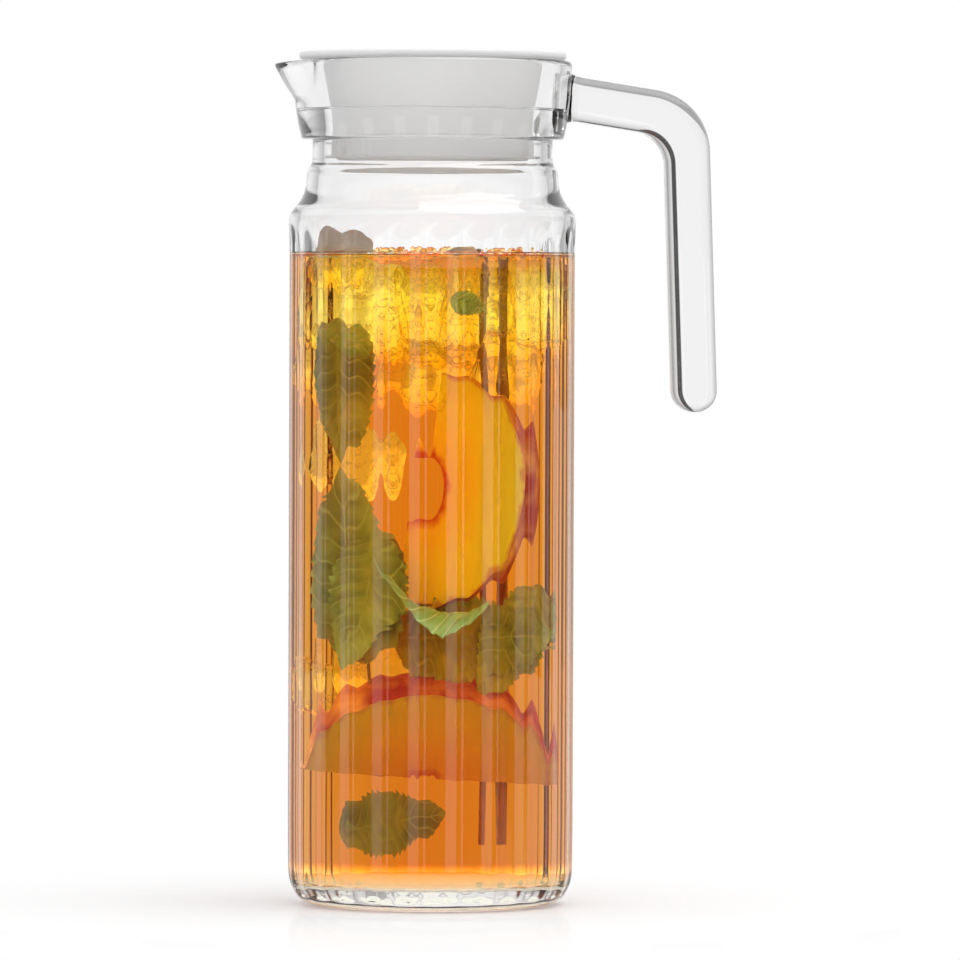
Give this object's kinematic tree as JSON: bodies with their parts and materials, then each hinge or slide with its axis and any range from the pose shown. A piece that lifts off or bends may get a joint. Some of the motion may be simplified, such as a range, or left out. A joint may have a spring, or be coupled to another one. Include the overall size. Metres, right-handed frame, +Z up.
{
  "type": "glass carafe",
  "caption": "Tall fluted glass carafe with a hook handle, a drawn pour lip and a milky plug-in lid that lifts out and twists over a windowed strainer ring.",
  "frame": {"origin": "centre of the flat foot, on the carafe's axis, at table level", "axes": "+Z up along the carafe's axis, +X towards the handle, pour lip towards -X"},
  "size_m": [0.1385, 0.0892, 0.2661],
  "materials": {
    "body_glass": "clear pressed and blown soda-lime glass, fire-polished",
    "handle_glass": "clear solid glass, fire-polished",
    "ring_plastic": "milky translucent polyethylene, satin",
    "lid_plastic": "milky translucent polyethylene, satin"
  },
  "bodies": {
    "carafe": {"carafe_body": "body_glass", "handle": "handle_glass"},
    "strainer": {"strainer_ring": "ring_plastic"},
    "lid": {"lid_cap": "lid_plastic"}
  },
  "joints": [
    {"name": "lid_lift", "type": "slide", "parent": "carafe", "child": "strainer", "axis": [0, 0, 1], "range_m": [0, 0.09]},
    {"name": "cap_turn", "type": "hinge", "parent": "strainer", "child": "lid", "pos_m": [0, 0, 0.25], "axis": [0, 0, 1], "continuous": true}
  ]
}
